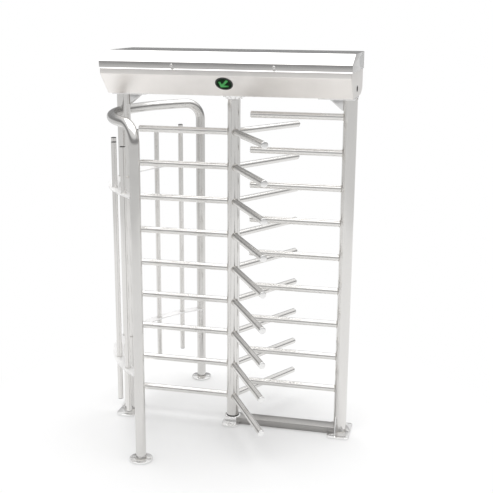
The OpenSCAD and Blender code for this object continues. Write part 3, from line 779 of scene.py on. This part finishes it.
# the canopy's section, half widths from the middle and heights above its underside
TROUGH_HALF = extent("canopy_trough").y / 2
TROUGH_END = extent("canopy_trough").x / 2
TROUGH_FOOT = 0.155
SLOPE_H = 0.114
REAR_FOOT = 0.190
REAR_LOW_H = 0.028
CABLE_HOLE_R = 0.013
TROUGH_H = extent("canopy_trough").z
RIM = 0.016
SLOPE = atan2(SLOPE_H, TROUGH_HALF - TROUGH_FOOT)
LID_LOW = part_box("lid")[0].z + 0.006
LID_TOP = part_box("lid")[1].z
LID_HALF = -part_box("lid")[0].y
LID_END = extent("lid").x / 2
LID_FLAT = 0.145
LID_SHOULDER = LID_TOP - 0.052


def trough_section():
    top = CANOPY_Z + TROUGH_H
    corners = end_corners()
    return rounded([(TROUGH_HALF - RIM, top)] + corners + [(RIM - TROUGH_HALF, top)],
                   [0] + [FOLD_R] * 6 + [0])


def trough():
    """Rolled from one sheet, with the turned-in rims that the lid rests over."""
    outside = trough_section()
    shape = Shape()
    prism(shape, thick_section(outside, 1), [-TROUGH_END, -0.2, 0.2, TROUGH_END], len(outside))
    shape.finish("trough_sheet", canopy_steel, "frame", ["canopy_trough"],
                 sharp=28)


def end_corners():
    """Corners of the trough's section from its rear rim round to its front rim."""
    return [(TROUGH_HALF, CANOPY_Z + TROUGH_H), (TROUGH_HALF, CANOPY_Z + REAR_LOW_H),
            (REAR_FOOT, CANOPY_Z), (-TROUGH_FOOT, CANOPY_Z),
            (-TROUGH_HALF, CANOPY_Z + SLOPE_H), (-TROUGH_HALF, CANOPY_Z + TROUGH_H)]


def trough_ends():
    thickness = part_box("canopy_ends")[1].x - TROUGH_END
    hole_z = middle("cable_grommet").z
    shape = Shape()
    for side in (-1, 1):
        outlines = [rounded(end_corners(), [FOLD_R] * 6)]
        if side > 0:
            outlines.append(circle(0, hole_z, CABLE_HOLE_R, 64))
        place = at(side * (TROUGH_END + thickness / 2), 0, 0) @ turned(90) @ turned(90, "X")
        shape.slab(outlines, thickness, place, bevel=0.0008)
    shape.finish("trough_end_plates", canopy_steel, "frame", ["canopy_ends"])


def lid_section():
    corners = [(LID_HALF, LID_LOW), (LID_HALF, LID_TOP), (-LID_FLAT, LID_TOP),
               (-LID_HALF, LID_SHOULDER), (-LID_HALF, LID_LOW)]
    return rounded(corners, [0] + [FOLD_R] * 3 + [0])


def knuckle(shape, x, y, z, radius, bore, length):
    bevel = 0.0008
    shape.revolve([(bore, 0), (radius - bevel, 0), (radius, bevel), (radius, length - bevel),
                   (radius - bevel, length), (bore, length)],
                  at(x - length / 2, y, z) @ turned(90, "Y"), 40)


def block(shape, low, high, bevel=0.0006):
    """A bevelled block between two corners."""
    size = high - low
    centre = (low + high) / 2
    shape.slab([rectangle(size.x, size.y, 0)], size.z, at(*centre), bevel)


FLARE = 0.0045
HINGE_X = 0.400
KNUCKLE_L = 0.020
KNUCKLE_STEP = 0.0205
KNUCKLE_R = 0.006
HINGE_PIN_R = 0.003
LEAF_T = 0.0025


def lid_cover():
    """The folded cover, its two end sheets, the flare of its front lip and its knuckles."""
    outside = lid_section()
    shape = Shape()
    prism(shape, thick_section(outside, -1), [-LID_END + SHEET, 0, LID_END - SHEET], len(outside))
    for side in (-1, 1):
        place = at(side * (LID_END - SHEET / 2), 0, 0) @ turned(90) @ turned(90, "X")
        shape.slab([outside], SHEET, place, bevel=0.0006)
    flare = [(-LID_HALF, LID_LOW + 0.006), (-LID_HALF - FLARE, LID_LOW + 0.0015),
             (-LID_HALF - FLARE, LID_LOW), (-LID_HALF, LID_LOW)]
    shape.slab([flare], 2 * LID_END, turned(90) @ turned(90, "X"), bevel=0.0004)
    hinge_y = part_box("lid")[1].y - KNUCKLE_R
    for side in (-1, 1):
        for step in (-1, 1):
            x = side * HINGE_X + step * KNUCKLE_STEP
            knuckle(shape, x, hinge_y, LID_LOW, KNUCKLE_R, HINGE_PIN_R + 0.00005, KNUCKLE_L)
            block(shape, Vector((x - KNUCKLE_L / 2, LID_HALF, LID_LOW + 0.0052)),
                  Vector((x + KNUCKLE_L / 2, LID_HALF + LEAF_T, LID_LOW + 0.030)))
    shape.finish("lid_cover", lid_steel, "lid", ["lid"], sharp=28)


def lid_screw_heads():
    low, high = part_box("lid_screws")
    radius = (high.z - low.z) / 2
    shape = Shape()
    for x in (low.x + radius, high.x - radius):
        place = at(x, SHEET - LID_HALF, (low.z + high.z) / 2) @ turned(90, "X")
        shape.revolve([(0, 0), (0.003, 0), (0.003, SHEET), (radius, SHEET),
                       (radius, SHEET + 0.0026), (radius - 0.0004, SHEET + 0.0033),
                       (radius - 0.0022, SHEET + 0.0045), (0.0046, SHEET + 0.0045),
                       (0.0040, SHEET + 0.0024), (0, SHEET + 0.0024)], place, 48, closed=False)
        slot = [Vector(c) for c in ((-0.0038, -0.0008), (0.0038, 0.0008))]
        block_place = place @ at(0, 0, SHEET + 0.0031)
        shape.slab([rectangle(slot[1].x - slot[0].x, slot[1].y - slot[0].y, 0)], 0.0012,
                   block_place, bevel=0.0002)
    shape.finish("lid_screw_heads", machined_screw, "lid", ["lid_screws"])


SIGN_SHARE = 0.37
ARROW_TURN = -38


def indicator_place():
    """The middle of the sign, a share of the way down the front slope, facing outward."""
    y = SIGN_SHARE * (TROUGH_HALF - TROUGH_FOOT) - TROUGH_HALF
    z = CANOPY_Z + SLOPE_H * (1 - SIGN_SHARE)
    return at(0, y, z) @ turned(180 - SLOPE * 180 / pi, "X")


def arrow_outline(size):
    """An arrow with slim barbs that points along local -Y."""
    points = [(0, -0.70), (0.62, -0.10), (0.46, 0.06), (0.13, -0.26), (0.13, 0.68),
              (-0.13, 0.68), (-0.13, -0.26), (-0.46, 0.06), (-0.62, -0.10)]
    return rounded([(x * size, y * size) for x, y in points], [0.03 * size] * len(points))


def indicator():
    """The round direction sign: a bezel, a domed smoked lens and a lit arrow under it."""
    place = indicator_place()
    radius = extent("indicator_bezel").x / 2
    lens_r = extent("indicator_lens").x / 2
    bezel = Shape()
    bezel.revolve([(radius - 0.007, -0.004), (radius - 0.005, -0.004), (radius - 0.005, 0),
                   (radius, 0), (radius, 0.0016), (radius - 0.0004, 0.0025),
                   (radius - 0.0016, 0.0033), (radius - 0.0032, 0.0035),
                   (radius - 0.0045, 0.0031), (radius - 0.0055, 0.0024),
                   (radius - 0.007, 0.0022)], place, 96)
    bezel.finish("sign_bezel", bezel_plastic, "frame", ["indicator_bezel"])
    lens = Shape()
    lens.revolve([(0, -0.002), (lens_r, -0.002), (lens_r, 0.0004), (lens_r * 0.98, 0.0007),
                  (lens_r * 0.85, 0.0011), (lens_r * 0.6, 0.0014), (lens_r * 0.3, 0.0015),
                  (0, 0.0015)], place, 96, closed=False)
    lens.finish("sign_lens", lens_plastic, "frame", ["indicator_lens"])
    arrow = Shape()
    arrow.slab([arrow_outline(lens_r * 1.22)], 0.0008,
               place @ at(0, 0, 0.0019) @ turned(ARROW_TURN), bevel=0.0003)
    arrow.finish("sign_arrow", arrow_light, "frame")


def head_plates():
    """The posts' head plates, each with the gusset down the post's inner side."""
    thickness = CANOPY_Z - HEAD_PLATE_LOW
    bolt_r = 0.0063
    spacing = 0.075
    welds = Shape()
    for node, side in (("head_plate_left", -1), ("head_plate_right", 1)):
        low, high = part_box(node)
        width, length = high.x - low.x, high.y - low.y
        holes = [circle(i * spacing, j * spacing, bolt_r, 32) for i in (-1, 1) for j in (-1, 1)]
        shape = Shape()
        shape.slab([rectangle(width, length, 0.008)] + holes, thickness,
                   at(middle(node).x, 0, HEAD_PLATE_LOW + thickness / 2))
        height = HEAD_PLATE_LOW - low.z
        outline = [(POST_R - 0.003, 0), (POST_R + 0.078, 0), (POST_R + 0.078, -0.008),
                   (POST_R + 0.008, -height), (POST_R - 0.003, -height)]
        inward = at(side * POST_X, 0, HEAD_PLATE_LOW) @ turned(180 if side > 0 else 0)
        shape.slab([rounded(outline, [0, 0.001, 0.002, 0.002, 0])], 0.008,
                   inward @ turned(90, "X"), bevel=0.001)
        for edge in (-0.004, 0.004):
            line = [(POST_R + 0.001, -height + 0.001), (POST_R + 0.001, -0.001),
                    (POST_R + 0.077, -0.001)]
            path = [inward @ Vector((x, edge, z)) for x, z in line]
            welds.sweep(path, 0.0022, 8)
        shape.finish(node + "_steel", plate_steel, "frame", [node])
    welds.finish("head_welds", weld_steel, "frame")


def grommet():
    low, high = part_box("cable_grommet")
    hole_r = CABLE_HOLE_R
    face = TROUGH_END
    thickness = 0.003
    profile = [(0, 0), (hole_r, 0), (hole_r, thickness), (hole_r + 0.003, thickness),
               (hole_r + 0.0028, thickness + 0.0018), (hole_r + 0.0018, thickness + 0.0028),
               (hole_r, thickness + 0.003), (hole_r - 0.003, thickness + 0.003),
               (hole_r - 0.0042, thickness + 0.0018), (hole_r - 0.005, thickness - 0.001),
               (0, thickness - 0.001)]
    shape = Shape()
    shape.revolve(profile, at(face, 0, (low.z + high.z) / 2) @ turned(90, "Y"), 64,
                  closed=False)
    shape.finish("cable_seal", rubber, "frame", ["cable_grommet"])


def build_turnstile():
    rotor_column()
    wings()
    comb()
    posts()
    cage()
    bands()
    feet()
    gussets()
    beam()
    pedestal()
    head()
    head_plates()
    trough()
    trough_ends()
    lid_cover()
    lid_screw_heads()
    indicator()
    grommet()


# ---------- CAD nodes that keep their own meshes ----------

CAD_MATERIALS = {
    "chassis_beam": chassis_paint, "chassis_bolts": zinc,
    "lid_hinges": zinc, "lock_solenoids": coil_plastic,
    "damper_body": black_steel, "count_sensor": sensor_plastic, "control_box": box_paint,
    "rotor_shaft": machined_steel, "drive_gear": brass, "lock_wheel": black_steel,
    "pawl_entry": machined_steel, "pawl_exit": machined_steel, "plunger_entry": zinc,
    "plunger_exit": zinc, "damper_pinion": machined_steel,
}


def paint_cad_nodes():
    for node, material in CAD_MATERIALS.items():
        slots = frame["nodes"][node].material_slots
        for slot in slots:
            slot.material = material


# ---------- floor, light and camera ----------

FLOOR_R = 6.0
FADE_FROM = 0.7
FADE_TO = 1.7


def floor():
    """A pale disc that fades to plain white away from the turnstile."""
    edge = circle(0, 0, FLOOR_R, 96)
    mesh = bpy.data.meshes.new("floor")
    mesh.from_pydata([(x, y, 0) for x, y in edge], [], [range(len(edge))])
    plane = bpy.data.objects.new("floor", mesh)
    bpy.context.scene.collection.objects.link(plane)
    material, nodes, links, shader = new_material("pale_floor")
    vector = coordinates(nodes, links, (1, 1, 1), from_grain=False)
    broad = noise(nodes, links, vector, 0.8)
    color = tones(nodes, links, broad, (0.80, 0.80, 0.80), (0.82, 0.82, 0.82))
    links.new(color, shader.inputs["Base Color"])
    shader.inputs["Roughness"].default_value = 0.9
    shader.inputs["Specular IOR Level"].default_value = 0.1
    distance = nodes.new("ShaderNodeVectorMath")
    distance.operation = "LENGTH"
    links.new(vector, distance.inputs[0])
    fade = nodes.new("ShaderNodeMapRange")
    fade.interpolation_type = "SMOOTHSTEP"
    fade.inputs["From Min"].default_value = FADE_FROM
    fade.inputs["From Max"].default_value = FADE_TO
    links.new(distance.outputs["Value"], fade.inputs["Value"])
    white = nodes.new("ShaderNodeEmission")
    mixed = nodes.new("ShaderNodeMixShader")
    links.new(fade.outputs[0], mixed.inputs["Fac"])
    links.new(shader.outputs[0], mixed.inputs[1])
    links.new(white.outputs[0], mixed.inputs[2])
    links.new(mixed.outputs[0], nodes["Material Output"].inputs["Surface"])
    mesh.materials.append(material)


def world_light():
    """White to the camera, and to the steel a dark horizon under a bright sky."""
    world = bpy.data.worlds.new("studio")
    bpy.context.scene.world = world
    world.use_nodes = True
    nodes, links = world.node_tree.nodes, world.node_tree.links
    background = nodes["Background"]
    source = nodes.new("ShaderNodeTexCoord")
    parts = nodes.new("ShaderNodeSeparateXYZ")
    ramp = nodes.new("ShaderNodeValToRGB")
    height = nodes.new("ShaderNodeMapRange")
    height.inputs["From Min"].default_value = -1
    links.new(source.outputs["Generated"], parts.inputs[0])
    links.new(parts.outputs["Z"], height.inputs["Value"])
    links.new(height.outputs[0], ramp.inputs["Fac"])
    stops = ((0.0, 0.80), (0.49, 0.75), (0.51, 0.30), (0.64, 0.30), (0.72, 0.95), (1.0, 1.05))
    elements = ramp.color_ramp.elements
    while len(elements) < len(stops):
        elements.new(0.5)
    for element, (position, value) in zip(elements, stops):
        element.position = position
        element.color = (value, value, value, 1)
    paths = nodes.new("ShaderNodeLightPath")
    mixed = nodes.new("ShaderNodeMix")
    mixed.data_type = "RGBA"
    mixed.inputs["B"].default_value = (1, 1, 1, 1)
    links.new(paths.outputs["Is Camera Ray"], mixed.inputs["Factor"])
    links.new(ramp.outputs["Color"], mixed.inputs["A"])
    links.new(mixed.outputs["Result"], background.inputs["Color"])


def softbox(name, position, target, width, depth, energy):
    light = bpy.data.lights.new(name, "AREA")
    light.shape = "RECTANGLE"
    light.size = width
    light.size_y = depth
    light.energy = energy
    lamp = bpy.data.objects.new(name, light)
    bpy.context.scene.collection.objects.link(lamp)
    lamp.location = position
    direction = Vector(target) - Vector(position)
    lamp.rotation_euler = direction.to_track_quat("-Z", "Y").to_euler()
    lamp.visible_camera = False


CAMERA_AT = (1.2438, -5.0751, 2.4265)
CAMERA_YAW = 0.2258
CAMERA_PITCH = 0.2485
CAMERA_ROLL = 0.0076
CAMERA_LENS = 67.34


def camera():
    data = bpy.data.cameras.new("camera")
    data.lens = CAMERA_LENS
    data.sensor_width = 36
    eye = bpy.data.objects.new("camera", data)
    bpy.context.scene.collection.objects.link(eye)
    turn = (Matrix.Rotation(CAMERA_YAW, 4, "Z") @ Matrix.Rotation(pi / 2 - CAMERA_PITCH, 4, "X")
            @ Matrix.Rotation(CAMERA_ROLL, 4, "Z"))
    eye.matrix_world = at(*CAMERA_AT) @ turn
    bpy.context.scene.camera = eye


camera()
floor()
world_light()
softbox("overhead", (0, 0.5, 5.0), (0, 0.5, 0), 6.0, 6.0, 200)
bpy.context.scene.view_settings.view_transform = "Standard"
build_turnstile()
paint_cad_nodes()
